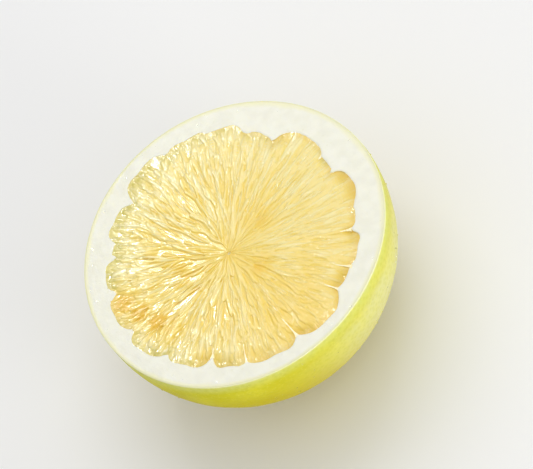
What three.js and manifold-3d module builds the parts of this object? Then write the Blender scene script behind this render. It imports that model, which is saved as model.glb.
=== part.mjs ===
// Half of a pomelo, cut crosswise at its widest, standing on its blossom end with the cut face up.
// Millimetres, +Z up along the fruit's axis, origin at the centre of the small flat spot it rests on.
import * as THREE from "three";
import { mergeVertices } from "three/addons/utils/BufferGeometryUtils.js";
import Module from "manifold-3d";

// The outside of the half.
const CUT_RADIUS = 75; // mean radius of the cut face
const HALF_HEIGHT = 70; // from the resting spot to the cut face
const FOOT_RADIUS = 15; // the flat spot at the blossom end
const FULLNESS = 2.2; // superellipse exponent: 2 is an ellipse, more is fuller
const OVAL = 0.006; // how far the plan is from round, as a share of its radius
const THREE_SIDED = 0.004;

// The inside, where the cut shows it.
const CORE = new THREE.Vector2(-4.7, -2.7); // off the centre, because the pith is thicker on one side
const CORE_RADIUS = 3.5;
const WALL = 0.8; // the skin between two segments
const TIP_ROOM = 1.5; // a segment's tip is where its two skins lie this many times their thickness apart
const SEGMENT_SINK = 1; // the flesh has shrunk below the pith, the skins and the core by this much

// Each segment from +X round: its width in degrees about the core, its reach from core to rim, and
// how far it reaches beside the skin it starts at, where the pith comes in between two segments.
const SEGMENTS = [
  { span: 10, reach: 0.77, corner: 0.745 },
  { span: 26, reach: 0.83, corner: 0.77 },
  { span: 16, reach: 0.78, corner: 0.74 },
  { span: 15, reach: 0.85, corner: 0.8 },
  { span: 18, reach: 0.875, corner: 0.835 },
  { span: 25, reach: 0.9, corner: 0.85 },
  { span: 21, reach: 0.86, corner: 0.78 },
  { span: 7, reach: 0.81, corner: 0.79 },
  { span: 19, reach: 0.845, corner: 0.76 },
  { span: 24, reach: 0.86, corner: 0.8 },
  { span: 24, reach: 0.87, corner: 0.8 },
  { span: 24, reach: 0.85, corner: 0.8 },
  { span: 17, reach: 0.855, corner: 0.75 },
  { span: 25, reach: 0.89, corner: 0.84 },
  { span: 27, reach: 0.9, corner: 0.83 },
  { span: 11, reach: 0.84, corner: 0.83 },
  { span: 18, reach: 0.845, corner: 0.83 },
  { span: 11, reach: 0.805, corner: 0.76 },
  { span: 22, reach: 0.84, corner: 0.79 },
];
const ROUND_END_POWER = 4; // how squarely a segment ends: 2 is round, more is squarer

// How finely the curves are divided.
const STEPS_ROUND = 96;
const STEPS_UP = 22;
const STEPS_SEGMENT_END = 14;

const wasm = await Module();
wasm.setup();

/** The rim's radius in a direction: nearly round, with a slight oval and a slight three-sidedness. */
function rimShare(angle) {
  const oval = OVAL * Math.cos(2 * (angle - Math.PI / 2));
  const threeSided = THREE_SIDED * Math.cos(3 * angle + 0.6);
  return 1 + oval + threeSided;
}

/** The profile from the axis at the foot, out and up the side to the rim, and back in to the axis. */
function halfProfile() {
  const footShare = FOOT_RADIUS / CUT_RADIUS;
  const depth = HALF_HEIGHT / (1 - footShare ** FULLNESS) ** (1 / FULLNESS);
  const footAngle = Math.acos(footShare ** (FULLNESS / 2));
  const points = [new THREE.Vector2(0, 0)];
  for (let i = 0; i <= STEPS_UP; i++) {
    const angle = footAngle * (1 - i / STEPS_UP);
    const radius = CUT_RADIUS * Math.cos(angle) ** (2 / FULLNESS);
    const below = depth * Math.sin(angle) ** (2 / FULLNESS);
    points.push(new THREE.Vector2(radius, HALF_HEIGHT - below));
  }
  points.push(new THREE.Vector2(0, HALF_HEIGHT));
  return points;
}

/** The uncut outside of the half, as a closed geometry about +Z. */
function halfGeometry() {
  const geometry = new THREE.LatheGeometry(halfProfile(), STEPS_ROUND);
  geometry.rotateX(Math.PI / 2);
  const position = geometry.getAttribute("position");
  for (let i = 0; i < position.count; i++) {
    const x = position.getX(i);
    const y = position.getY(i);
    const share = rimShare(Math.atan2(y, x));
    position.setXY(i, x * share, y * share);
  }
  return geometry;
}

/** The distance from the core to the rim in a direction from the core. */
function coreToRim(angle) {
  const across = CORE.x * Math.sin(angle) - CORE.y * Math.cos(angle);
  const along = CORE.x * Math.cos(angle) + CORE.y * Math.sin(angle);
  const round = Math.sqrt(CUT_RADIUS ** 2 - across ** 2) - along;
  const rimX = CORE.x + round * Math.cos(angle);
  const rimY = CORE.y + round * Math.sin(angle);
  return round * rimShare(Math.atan2(rimY, rimX));
}

/** A segment's outline on the cut face: straight along its two skins, and a round end at the pith. */
function segmentShape(start, end, reach, corners) {
  const outline = [];
  const point = (angle, radius) =>
    outline.push(new THREE.Vector2(radius * Math.cos(angle), radius * Math.sin(angle)).add(CORE));
  const besideWall = (radius) => Math.asin(WALL / 2 / radius);
  const tip = Math.max(CORE_RADIUS, (TIP_ROOM * WALL) / 2 / Math.sin((end - start) / 2));
  point(start + besideWall(tip), tip);
  for (let i = 0; i <= STEPS_SEGMENT_END; i++) {
    const share = (2 * i) / STEPS_SEGMENT_END - 1;
    const middle = (start + end) / 2;
    const corner = corners[share < 0 ? 0 : 1];
    const extent = reach + (corner - reach) * Math.abs(share) ** ROUND_END_POWER;
    const radius = coreToRim(middle + (share * (end - start)) / 2) * extent;
    const halfSpan = (end - start) / 2 - besideWall(radius);
    point(middle + share * halfSpan, radius);
  }
  point(end - besideWall(tip), tip);
  return new THREE.Shape(outline);
}

/** What the knife left empty over one segment, reaching above the cut face. */
function segmentSink(start, end, reach, corners) {
  const geometry = new THREE.ExtrudeGeometry(segmentShape(start, end, reach, corners), {
    depth: 2 * SEGMENT_SINK,
    bevelEnabled: false,
  });
  geometry.translate(0, 0, HALF_HEIGHT - SEGMENT_SINK);
  return geometry;
}

/** A closed geometry as a solid that can be cut. */
function solid(geometry) {
  geometry.deleteAttribute("normal");
  geometry.deleteAttribute("uv");
  const merged = mergeVertices(geometry, 1e-3);
  return new wasm.Manifold(
    new wasm.Mesh({
      numProp: 3,
      vertProperties: merged.attributes.position.array,
      triVerts: new Uint32Array(merged.index.array),
    }),
  );
}

/** A solid as a geometry that a mesh can hold. */
function geometryOf(body) {
  const { vertProperties, triVerts } = body.getMesh();
  const geometry = new THREE.BufferGeometry();
  geometry.setAttribute("position", new THREE.BufferAttribute(vertProperties, 3));
  geometry.setIndex(new THREE.BufferAttribute(triVerts, 1));
  geometry.computeVertexNormals();
  return geometry;
}

/** The half with each segment's flesh sunk a little below the pith and the skins. */
function cutHalf() {
  let half = solid(halfGeometry());
  let start = 0;
  SEGMENTS.forEach(({ span, reach, corner }, i) => {
    const end = start + THREE.MathUtils.degToRad(span);
    const corners = [corner, SEGMENTS[(i + 1) % SEGMENTS.length].corner];
    half = half.subtract(solid(segmentSink(start, end, reach, corners)));
    start = end;
  });
  return geometryOf(half);
}

const rind = new THREE.MeshStandardMaterial({ color: 0xcfc83c, roughness: 0.38, metalness: 0 });
const half = new THREE.Mesh(cutHalf(), rind);
half.name = "pomelo_half";

const part = new THREE.Group();
part.name = "pomelo";
part.add(half);

export default part;
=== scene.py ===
"""Half of a pomelo, cut crosswise and resting on its blossom end: its looks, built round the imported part.

Every size is in metres in the part's own frame, +Z up, with the cut face on top.
"""

import logging
import math
from collections.abc import Callable, Iterator
from contextlib import contextmanager
from dataclasses import dataclass, field
from enum import Enum
from typing import Any

import bpy
import numpy as np
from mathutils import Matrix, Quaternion, Vector, kdtree, noise

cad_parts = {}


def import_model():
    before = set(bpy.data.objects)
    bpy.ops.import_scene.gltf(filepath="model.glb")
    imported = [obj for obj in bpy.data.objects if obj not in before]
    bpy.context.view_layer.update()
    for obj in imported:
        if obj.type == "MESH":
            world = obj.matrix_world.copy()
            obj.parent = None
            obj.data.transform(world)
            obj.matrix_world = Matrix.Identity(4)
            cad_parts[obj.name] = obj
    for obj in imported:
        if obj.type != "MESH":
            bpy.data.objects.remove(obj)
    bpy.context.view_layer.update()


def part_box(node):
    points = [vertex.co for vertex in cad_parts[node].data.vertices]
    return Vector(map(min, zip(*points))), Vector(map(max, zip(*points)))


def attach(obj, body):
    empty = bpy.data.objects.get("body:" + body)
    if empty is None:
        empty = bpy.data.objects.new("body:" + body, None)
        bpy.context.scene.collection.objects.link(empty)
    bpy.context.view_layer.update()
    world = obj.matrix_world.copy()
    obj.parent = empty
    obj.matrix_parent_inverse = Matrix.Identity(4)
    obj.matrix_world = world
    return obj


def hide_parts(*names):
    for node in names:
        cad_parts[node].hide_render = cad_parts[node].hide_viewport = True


log = logging.getLogger("pomelo")

MM = 0.001
BODY = "root"
NODE = "pomelo_half"
EVEN_STEPS = (0.7549, 0.5698)  # what is left of their multiples past whole numbers fills a square evenly

Points = np.ndarray
Colour = tuple[float, float, float]
Spots = tuple[tuple[float, float, float, float], ...]  # X, Y and size in millimetres, and strength
Object = bpy.types.Object
Socket = bpy.types.NodeSocket


# ---------------------------------------------------------------- the fruit's own shape


@dataclass(frozen=True)
class Segment:
    """One segment of the fruit, as the cut shows it."""

    start: float  # the angle of its first skin about the core, in radians
    end: float  # the angle of its second

    @property
    def middle(self) -> float:
        """The angle of the segment's middle line."""
        return (self.start + self.end) / 2

    @property
    def half_span(self) -> float:
        """Half of the segment's angle about the core."""
        return (self.end - self.start) / 2


@dataclass
class Fruit:
    """The shape that every piece of the half takes its sizes from."""

    low: Vector  # the corners of the box it fills
    high: Vector
    fullness: float = 2.2  # superellipse exponent of the side: 2 is an ellipse
    foot_share: float = 0.2  # the flat spot's radius over the cut's
    oval: float = 0.006
    three_sided: float = 0.004
    core_share: tuple[float, float] = (-0.0627, -0.036)  # the core's place, over the cut's radius
    # each segment's width in degrees, and how far its flesh comes from the core towards the rim, from 0 to 1
    spans: tuple[int, ...] = (10, 26, 16, 15, 18, 25, 21, 7, 19, 24, 24, 24, 17, 25, 27, 11, 18, 11, 22)
    reaches: tuple[float, ...] = (
        *(0.77, 0.83, 0.78, 0.85, 0.875, 0.9, 0.86, 0.81, 0.845, 0.86),
        *(0.87, 0.85, 0.855, 0.89, 0.9, 0.84, 0.845, 0.805, 0.84),
    )
    corners: tuple[float, ...] = (  # the same beside each segment's first skin, where the pith comes in
        *(0.745, 0.77, 0.74, 0.8, 0.835, 0.85, 0.78, 0.79, 0.76, 0.8),
        *(0.8, 0.8, 0.75, 0.84, 0.83, 0.83, 0.83, 0.76, 0.79),
    )
    round_end_power: int = 4  # how squarely a segment ends: 2 is round, more is squarer
    wander: float = 0.6 * MM  # how unevenly the flesh meets the pith
    ripe_spots: Spots = (  # where the flesh is golden
        *((16, 1, 10, 0.75), (2, -20, 11, 0.8), (5, -36, 12, 0.7), (-27, 7, 8, 0.6)),
        *((-57, 12, 9, 1), (-54, 2, 9, 1), (-50, -8, 9, 1), (-48, -16, 8, 0.8)),
        *((-43, -41, 6, 0.6), (-26, -54, 7, 0.6), (-10, -59, 6, 0.6)),
        *((2, -48, 30, 0.7), (30, -36, 20, 0.35), (-22, -30, 14, 0.4)),
    )
    shrunk_spots: Spots = (  # where the flesh has shrunk from the pith and a painted shadow darkens it
        *((59, -8, 6, 1), (0, -64, 6, 1), (29, -55, 7, 1), (44, -38, 5, 1), (59, -18, 6, 0.9)),
        *((-37, -49, 6, 0.9), (-20, -59, 5, 0.7), (45, 30, 6, 0.7), (-43, -41, 5, 0.8)),
    )
    segments: list[Segment] = field(init=False)

    def __post_init__(self) -> None:
        """Lays the segments side by side round the core."""
        edges = np.radians(np.concatenate([[0], np.cumsum(self.spans)]))
        self.segments = [Segment(a, b) for a, b in zip(edges, edges[1:])]

    @property
    def height(self) -> float:
        """The height of the cut face above the resting spot."""
        return self.high.z - self.low.z

    @property
    def radius(self) -> float:
        """The mean radius of the cut face."""
        ends = self.rim_share(np.array([0.0, math.pi])).sum()
        return (self.high.x - self.low.x) / float(ends)

    @property
    def core(self) -> tuple[float, float]:
        """The core's place on the cut face."""
        return self.core_share[0] * self.radius, self.core_share[1] * self.radius

    @property
    def depth(self) -> float:
        """How deep the side's curve would go if no flat spot ended it."""
        return self.height / (1 - self.foot_share**self.fullness) ** (1 / self.fullness)

    def rim_share(self, angle: Points) -> Points:
        """The rim's radius in each direction from the centre, over its mean."""
        oval = self.oval * np.cos(2 * (angle - math.pi / 2))
        return 1 + oval + self.three_sided * np.cos(3 * angle + 0.6)

    def core_to_edge(self, angle: Points, share: float = 1.0) -> Points:
        """The distance from the core to the rim, or to a smaller copy of the rim.

        Args:
            angle: directions from the core, in radians.
            share: the size of the copy, over the rim's.

        Returns:
            One distance for each direction.
        """
        x, y = self.core
        across = x * np.sin(angle) - y * np.cos(angle)
        along = x * np.cos(angle) + y * np.sin(angle)
        reach = np.sqrt((share * self.radius) ** 2 - across**2) - along
        seen_from_centre = np.arctan2(y + reach * np.sin(angle), x + reach * np.cos(angle))
        return reach * self.rim_share(seen_from_centre)

    def flesh_edge(self, angle: Points) -> Points:
        """The distance from the core to where the flesh meets the pith: one round end for each segment.

        Args:
            angle: directions from the core, in radians.

        Returns:
            One distance for each direction.
        """
        starts = np.array([s.start for s in self.segments])
        spans = np.radians(np.array(self.spans, float))
        turned = np.mod(angle - starts[0], 2 * math.pi) + starts[0]
        found = np.clip(np.searchsorted(starts, turned + 1e-9) - 1, 0, len(starts) - 1)
        share = 2 * (turned - starts[found]) / spans[found] - 1
        reach = np.array(self.reaches)[found]
        corner = np.array(self.corners)[(found + (share > 0)) % len(starts)]
        extent = reach + (corner - reach) * np.abs(share) ** self.round_end_power
        wander = self.wander * (np.sin(5 * angle + 1) * np.sin(13 * angle) + 0.5 * np.sin(31 * angle + 2))
        return self.core_to_edge(angle) * extent + wander

    @staticmethod
    def spotted(points: Points, spots: Spots) -> Points:
        """How deep in one of some soft spots each point is.

        Args:
            points: rows of three.
            spots: the spots, of which the strongest at a point counts.

        Returns:
            One number from 0 to 1 for each point.
        """
        deepest = np.zeros(len(points))
        for x, y, size, strength in spots:
            away = np.hypot(points[:, 0] - x * MM, points[:, 1] - y * MM) / (size * MM)
            deepest = np.maximum(deepest, strength * np.exp(-(away**2)))
        return deepest

    def reach_share(self, points: Points) -> Points:
        """Each point's distance from the core, over the flesh's reach in its direction."""
        x, y = points[:, 0] - self.core[0], points[:, 1] - self.core[1]
        return np.hypot(x, y) / self.flesh_edge(np.arctan2(y, x))

    def outside(self, directions: Points) -> Points:
        """The rind's outside.

        Args:
            directions: unit vectors that point level or down, as rows of three.

        Returns:
            The point of the outside for each of them.
        """
        level = np.sqrt(held(1 - directions[:, 2] ** 2))
        angle = np.arctan2(directions[:, 1], directions[:, 0])
        out = self.radius * level ** (2 / self.fullness) * self.rim_share(angle)
        below = self.depth * held(-directions[:, 2]) ** (2 / self.fullness)
        z = np.maximum(self.height - below, 0)
        return np.stack([out * np.cos(angle), out * np.sin(angle), self.low.z + z], 1)

    def from_core(self, angle: Points, distance: Points, drop: Points) -> Points:
        """Points placed as the flesh is, out from the core and down from the cut face.

        Args:
            angle: each point's direction from the core, in radians.
            distance: its distance from the core.
            drop: how far it is below the cut face.

        Returns:
            The points, each a row of three.
        """
        x = self.core[0] + distance * np.cos(angle)
        y = self.core[1] + distance * np.sin(angle)
        return np.stack([x, y, self.high.z - np.broadcast_to(drop, x.shape)], -1)


# ---------------------------------------------------------------- modelling tools


@contextmanager
def edit_mode(kind: str = "VERT") -> Iterator[None]:
    """Edit mode on the active object.

    Args:
        kind: what it selects by: VERT, EDGE or FACE.

    Returns:
        The block's context, which ends back in object mode.
    """
    bpy.ops.object.mode_set(mode="EDIT")
    bpy.ops.mesh.select_mode(type=kind)
    yield
    bpy.ops.object.mode_set(mode="OBJECT")


def begin(name: str, add: Callable[..., set[str]], **options: Any) -> Object:
    """Adds a primitive with nothing else selected, and names it.

    Args:
        name: the piece's name.
        add: the operator that adds the primitive.
        options: what the operator is given.

    Returns:
        The new object, active and alone in the selection.
    """
    bpy.ops.object.select_all(action="DESELECT")
    add(**options)
    piece = bpy.context.active_object
    piece.name = name
    piece.data.name = name
    return piece


def rows_of(items: Any, name: str) -> Points:
    """One vector from each of a mesh's items.

    Args:
        items: the mesh's vertices or its normals.
        name: the vector's name in each of them.

    Returns:
        Rows of three.
    """
    flat = np.empty(len(items) * 3, np.float32)
    items.foreach_get(name, flat)
    return flat.reshape(-1, 3).astype(float)


def points_of(piece: Object) -> Points:
    """The piece's vertices as rows of three."""
    return rows_of(piece.data.vertices, "co")


def move_points(piece: Object, points: Points) -> None:
    """Puts the piece's vertices at these rows of three."""
    piece.data.vertices.foreach_set("co", points.astype(np.float32).ravel())
    piece.data.update()


def normals_of(piece: Object) -> Points:
    """The piece's vertex normals as rows of three."""
    return rows_of(piece.data.vertex_normals, "vector")


def select_edges(piece: Object, chosen: np.ndarray) -> None:
    """Selects, in object mode, the edges whose two ends are both chosen.

    Args:
        piece: the piece.
        chosen: whether each of its vertices is chosen.
    """
    mesh = piece.data
    ends = np.empty(len(mesh.edges) * 2, np.int32)
    mesh.edges.foreach_get("vertices", ends)
    edges = chosen[ends.reshape(-1, 2)].all(axis=1)
    mesh.polygons.foreach_set("select", np.zeros(len(mesh.polygons), bool))
    mesh.vertices.foreach_set("select", chosen)
    mesh.edges.foreach_set("select", edges)


def repeat(piece: Object, count: int) -> int:
    """Turns the piece into a row of copies of itself, in one mesh.

    Args:
        piece: the modelled shape.
        count: how many of it there are in the end.

    Returns:
        The number of vertices in each copy, which lie together in the mesh.
    """
    size = len(piece.data.vertices)
    row = piece.modifiers.new("row", "ARRAY")
    row.count = count
    apply(piece, row)
    return size


def apply(piece: Object, modifier: bpy.types.Modifier) -> None:
    """Makes a modifier's result the piece's own mesh."""
    bpy.context.view_layer.objects.active = piece
    bpy.ops.object.modifier_apply(modifier=modifier.name)


def thicken(piece: Object, thickness: float, offset: float) -> None:
    """Gives an open sheet a thickness, and so closes it.

    Args:
        piece: the sheet.
        thickness: the wall's thickness.
        offset: where the sheet lies in its wall, from -1 under it to 1 on top.
    """
    wall = piece.modifiers.new("wall", "SOLIDIFY")
    wall.thickness = thickness
    wall.offset = offset
    apply(piece, wall)


def smooth(piece: Object, angle: float = 180.0) -> None:
    """Shades the piece smooth.

    Args:
        piece: the piece.
        angle: in degrees; edges whose faces meet at more stay sharp.
    """
    bpy.ops.object.select_all(action="DESELECT")
    piece.select_set(True)
    bpy.context.view_layer.objects.active = piece
    bpy.ops.object.shade_smooth_by_angle(angle=math.radians(angle))


def paint(piece: Object, name: str, values: Points) -> None:
    """Gives the piece a named number at each vertex, which its material reads."""
    attribute = piece.data.attributes.new(name, "FLOAT", "POINT")
    attribute.data.foreach_set("value", values.astype(np.float32))


def noise_at(points: Points, size: float, seed: float = 0.0) -> Points:
    """Smooth noise with lumps of a size, from about -1 to 1 at each point."""
    shift = Vector((seed * 7.3, seed * -3.1, seed * 5.7))
    return np.array([noise.noise(Vector(p) / size + shift) for p in points])


def held(values: Points) -> Points:
    """The values, with none below 0 or above 1."""
    return np.clip(values, 0, 1)


def tree_of(points: Points) -> kdtree.KDTree:
    """A tree that finds the nearest of some points.

    Args:
        points: rows of three.

    Returns:
        The balanced tree.
    """
    tree = kdtree.KDTree(len(points))
    for i, point in enumerate(points):
        tree.insert(point, i)
    tree.balance()
    return tree


def finish_piece(piece: Object, material: bpy.types.Material) -> None:
    """Dresses a piece and lets it ride on the part's one body in place of the plain solid.

    Args:
        piece: the finished mesh.
        material: what it is dressed in.
    """
    piece.data.materials.clear()
    piece.data.materials.append(material)
    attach(piece, BODY)
    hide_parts(NODE)
    points = points_of(piece) / MM
    low, high = points.min(axis=0), points.max(axis=0)
    log.info("%s: %d faces, %s to %s mm", piece.name, len(piece.data.polygons), low.round(1), high.round(1))


# ---------------------------------------------------------------- shader tools


class Sheet:
    """One node tree, with short ways to add to it and link it."""

    def __init__(self, tree: bpy.types.NodeTree) -> None:
        """Takes an empty tree, or one that only holds its inputs and outputs."""
        self.tree = tree

    def add(self, kind: str, feeds: dict[Any, Any] | None = None, **settings: Any) -> bpy.types.Node:
        """Adds a node.

        Args:
            kind: the node's type, without its Shader or Node prefix.
            feeds: input name, identifier or number to a value, or to the socket that feeds it.
            settings: the node's own settings.

        Returns:
            The new node.
        """
        node = self.tree.nodes.new("ShaderNode" + kind)
        for name, value in settings.items():
            setattr(node, name, value)
        for name, value in (feeds or {}).items():
            self.feed(pick(node.inputs, name), value)
        return node

    def feed(self, socket: Socket, value: Any) -> None:
        """Links another node's socket to this one, or sets its plain value.

        Args:
            socket: the input.
            value: the socket that feeds it, a number, a colour or a vector.
        """
        if isinstance(value, Socket):
            self.tree.links.new(value, socket)
        elif socket.type == "RGBA" and len(value) == 3:
            socket.default_value = (*value, 1.0)
        else:
            socket.default_value = value

    def math(self, operation: str, first: Any, second: Any = 0.0) -> Socket:
        """The result of one sum."""
        return self.add("Math", {"Value": first, "Value_001": second}, operation=operation).outputs[0]

    def times(self, first: Any, second: Any) -> Socket:
        """Two numbers multiplied."""
        return self.math("MULTIPLY", first, second)

    def vector(self, operation: str, feeds: dict[Any, Any]) -> Socket:
        """The result of one vector sum: a vector or, for a length, a number."""
        outputs = self.add("VectorMath", feeds, operation=operation).outputs
        return outputs["Value" if operation == "LENGTH" else "Vector"]

    def ramp(self, value: Any, low: float, high: float, first: float = 0, last: float = 1) -> Socket:
        """A smooth step of a value between two of its levels."""
        feeds = {"Value": value, "From Min": low, "From Max": high, "To Min": first, "To Max": last}
        return self.add("MapRange", feeds, interpolation_type="SMOOTHSTEP").outputs[0]

    def blend(self, share: Any, first: Any, second: Any) -> Socket:
        """Two colours mixed."""
        feeds = {"Factor_Float": share, "A_Color": first, "B_Color": second}
        return pick(self.add("Mix", feeds, data_type="RGBA").outputs, "Result_Color")

    def bump(self, height: Any, strength: float) -> Socket:
        """The surface's normal, where a height in metres raises it."""
        return self.add("Bump", {"Height": height, "Distance": 1.0, "Strength": strength}).outputs[0]

    def place(self) -> Socket:
        """Where a point is in the part's frame, in metres."""
        return self.add("TexCoord").outputs["Object"]

    def height(self) -> Socket:
        """How high a point is in the part's frame, in metres."""
        return self.add("SeparateXYZ", {"Vector": self.place()}).outputs["Z"]

    def painted(self, name: str) -> Socket:
        """The number that the piece's mesh holds under a name."""
        return self.add("Attribute", attribute_name=name).outputs["Fac"]

    def effect(self, group: bpy.types.NodeTree, feeds: dict[str, Any]) -> Socket:
        """Places a shared effect, in the part's own coordinates.

        Args:
            group: the effect.
            feeds: its other inputs' names and values.

        Returns:
            Its only output.
        """
        node = self.tree.nodes.new("ShaderNodeGroup")
        node.node_tree = group
        for name, value in {"Place": self.place(), **feeds}.items():
            self.feed(node.inputs[name], value)
        return node.outputs[0]


class Dress(Sheet):
    """The sheet of a new material that has one Principled shader."""

    def __init__(self, name: str) -> None:
        """Makes the material.

        Args:
            name: the material's name.
        """
        self.material = bpy.data.materials.new(name)
        self.material.use_nodes = True
        super().__init__(self.material.node_tree)
        self.shader = self.tree.nodes["Principled BSDF"]

    def finish(self, feeds: dict[str, Any]) -> bpy.types.Material:
        """Feeds the shader.

        Args:
            feeds: its inputs' names, and their values or the sockets that feed them.

        Returns:
            The material.
        """
        for name, value in feeds.items():
            self.feed(self.shader.inputs[name], value)
        return self.material


def pick(sockets: Any, name: str | int) -> Socket:
    """A node's socket by its identifier or, if none has that, by its name or number."""
    by_identifier = {s.identifier: s for s in sockets}
    return by_identifier[name] if name in by_identifier else sockets[name]


def new_effect(name: str, inputs: dict[str, str], output: str) -> tuple[Sheet, Any, Any]:
    """A node group that materials share.

    Args:
        name: the group's name.
        inputs: each input's name and socket type, beside the place that it works at.
        output: the output's socket type.

    Returns:
        The group's sheet, its input node's outputs, and the socket its result goes to.
    """
    group = bpy.data.node_groups.new(name, "ShaderNodeTree")
    for title, kind in {"Place": "Vector", **inputs}.items():
        group.interface.new_socket(title, in_out="INPUT", socket_type="NodeSocket" + kind)
    group.interface.new_socket("Result", in_out="OUTPUT", socket_type="NodeSocket" + output)
    entry = group.nodes.new("NodeGroupInput")
    leave = group.nodes.new("NodeGroupOutput")
    return Sheet(group), entry.outputs, leave.inputs[0]


@dataclass
class Effects:
    """The effects that several finishes share, each built once."""

    mottle: bpy.types.NodeTree = field(init=False)
    lumps: bpy.types.NodeTree = field(init=False)
    specks: bpy.types.NodeTree = field(init=False)
    strands: bpy.types.NodeTree = field(init=False)

    def __post_init__(self) -> None:
        """Builds the four groups."""
        self.mottle = self.make_mottle()
        self.lumps = self.make_lumps()
        self.specks = self.make_specks()
        self.strands = self.make_strands()

    @staticmethod
    def make_mottle() -> bpy.types.NodeTree:
        """A colour that drifts towards another in soft patches.

        Returns:
            The effect.
        """
        inputs = {"Colour": "Color", "Patches": "Color", "Size": "Float", "Amount": "Float"}
        sheet, entry, leave = new_effect("mottle", inputs, "Color")
        scale = sheet.math("DIVIDE", 1.0, entry["Size"])
        cloud = sheet.add("TexNoise", {"Vector": entry["Place"], "Scale": scale, "Detail": 4.0})
        share = sheet.times(sheet.ramp(cloud.outputs["Fac"], 0.35, 0.7), entry["Amount"])
        sheet.feed(leave, sheet.blend(share, entry["Colour"], entry["Patches"]))
        return sheet.tree

    @staticmethod
    def make_lumps() -> bpy.types.NodeTree:
        """A height in metres that rises and falls in fine lumps.

        Returns:
            The effect.
        """
        sheet, entry, leave = new_effect("lumps", {"Size": "Float", "Height": "Float"}, "Float")
        scale = sheet.math("DIVIDE", 1.0, entry["Size"])
        cloud = sheet.add("TexNoise", {"Vector": entry["Place"], "Scale": scale, "Detail": 3.0})
        sheet.feed(leave, sheet.times(cloud.outputs["Fac"], entry["Height"]))
        return sheet.tree

    @staticmethod
    def make_specks() -> bpy.types.NodeTree:
        """A mask of small round spots, 1 in the middle of each.

        Returns:
            The effect.
        """
        sheet, entry, leave = new_effect("specks", {"Spacing": "Float", "Width": "Float"}, "Float")
        scale = sheet.math("DIVIDE", 1.0, entry["Spacing"])
        cells = sheet.add("TexVoronoi", {"Vector": entry["Place"], "Scale": scale, "Randomness": 0.85})
        share = sheet.math("DIVIDE", cells.outputs["Distance"], entry["Width"])
        sheet.feed(leave, sheet.ramp(share, 1.0, 0.0))
        return sheet.tree

    @staticmethod
    def make_strands() -> bpy.types.NodeTree:
        """A mask of fine strands that run out from a middle, from 0 between them to 1 on them.

        Returns:
            The effect.
        """
        inputs = {"Middle": "Vector", "Count": "Float", "Length": "Float"}
        sheet, entry, leave = new_effect("strands", inputs, "Float")
        away = sheet.vector("SUBTRACT", {0: entry["Place"], 1: entry["Middle"]})
        level = sheet.vector("MULTIPLY", {0: away, 1: (1, 1, 0)})
        lengths = sheet.math("DIVIDE", sheet.vector("LENGTH", {0: level}), entry["Length"])
        along = sheet.add("CombineXYZ", {"Z": lengths}).outputs[0]
        towards = sheet.vector("NORMALIZE", {0: level})
        spread = sheet.vector("SCALE", {0: towards, "Scale": entry["Count"]})
        where = sheet.vector("ADD", {0: spread, 1: along})
        cloud = sheet.add("TexNoise", {"Vector": where, "Scale": 1.0, "Detail": 2.0, "Distortion": 0.8})
        sheet.feed(leave, sheet.ramp(cloud.outputs["Fac"], 0.46, 0.66))
        return sheet.tree


# ---------------------------------------------------------------- finishes


@dataclass(frozen=True)
class RindFinish:
    """Waxy skin, greener towards the cut and yellower and darker below, where the darkening is painted
    shade, over darker oil glands, with a patch of painted sheen on one side.
    """

    effects: Effects
    cut_height: float
    green: Colour = (0.65, 0.61, 0.012)
    # partly the skin's own yellower colour, partly painted shade: darker towards the resting spot
    yellow: Colour = (0.57, 0.46, 0.002)
    pale: Colour = (0.82, 0.75, 0.07)
    # painted sheen: the pale colour of a patch on one side of the rind that stands in for a broad reflection
    painted_sheen: Colour = (0.74, 0.73, 0.36)
    fresh: Colour = (0.69, 0.71, 0.18)
    gland: Colour = (0.82, 0.78, 0.14)
    pore: Colour = (0.52, 0.50, 0.02)
    cut: Colour = (0.91, 0.89, 0.54)
    roughness: float = 0.42
    green_band: float = 26 * MM

    def material(self) -> bpy.types.Material:
        """Builds the material.

        Returns:
            The rind's material.
        """
        sheet = Dress("rind")
        height, top = sheet.height(), self.cut_height
        drift = sheet.effect(self.effects.lumps, {"Size": 30 * MM, "Height": 20 * MM})
        level = sheet.math("ADD", height, drift)
        # greener towards the cut, yellower and darker towards the resting spot: the darkening is painted
        # shade
        greenness = sheet.ramp(level, top - self.green_band, top + 10 * MM)
        base = sheet.blend(greenness, self.yellow, self.green)
        # painted sheen: paler on one side, below the cut, standing in for a broad reflection
        below_band = sheet.ramp(height, top - 3 * MM, top - 14 * MM, 0.25, 0.8)
        base = sheet.blend(sheet.times(sheet.painted("painted_sheen"), below_band), base, self.painted_sheen)
        base = sheet.blend(sheet.ramp(height, top - 9 * MM, top - 1 * MM, 0.0, 0.85), base, self.fresh)
        base = sheet.blend(sheet.ramp(height, top - 2 * MM, top, 0.0, 0.6), base, self.cut)
        patchy = sheet.ramp(greenness, 0, 1, 0.02, 0.34)
        feeds = {"Colour": base, "Patches": self.pale, "Size": 14 * MM, "Amount": patchy}
        base = sheet.effect(self.effects.mottle, feeds)
        base = sheet.blend(sheet.times(sheet.painted("pore"), 0.3), base, self.pore)
        fine = sheet.effect(self.effects.specks, {"Spacing": 1.7 * MM, "Width": 0.42})
        base = sheet.blend(sheet.times(fine, sheet.ramp(greenness, 0, 1, 0.08, 0.4)), base, self.gland)
        wave = sheet.effect(self.effects.lumps, {"Size": 0.9 * MM, "Height": 0.05 * MM})
        relief = sheet.math("ADD", sheet.times(fine, 0.05 * MM), wave)
        return sheet.finish({
            "Base Color": sheet.blend(sheet.painted("cut"), base, self.cut),
            "Roughness": sheet.ramp(fine, 0, 1, self.roughness, self.roughness + 0.14),
            "Normal": sheet.bump(relief, 0.45),
            "Subsurface Weight": 0.25,
            "Subsurface Radius": (1.0, 0.8, 0.15),
            "Subsurface Scale": 1.5 * MM,
            "Specular IOR Level": 0.04,
            "Coat Weight": 0.01,
            "Coat Roughness": 0.15,
        })


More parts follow.
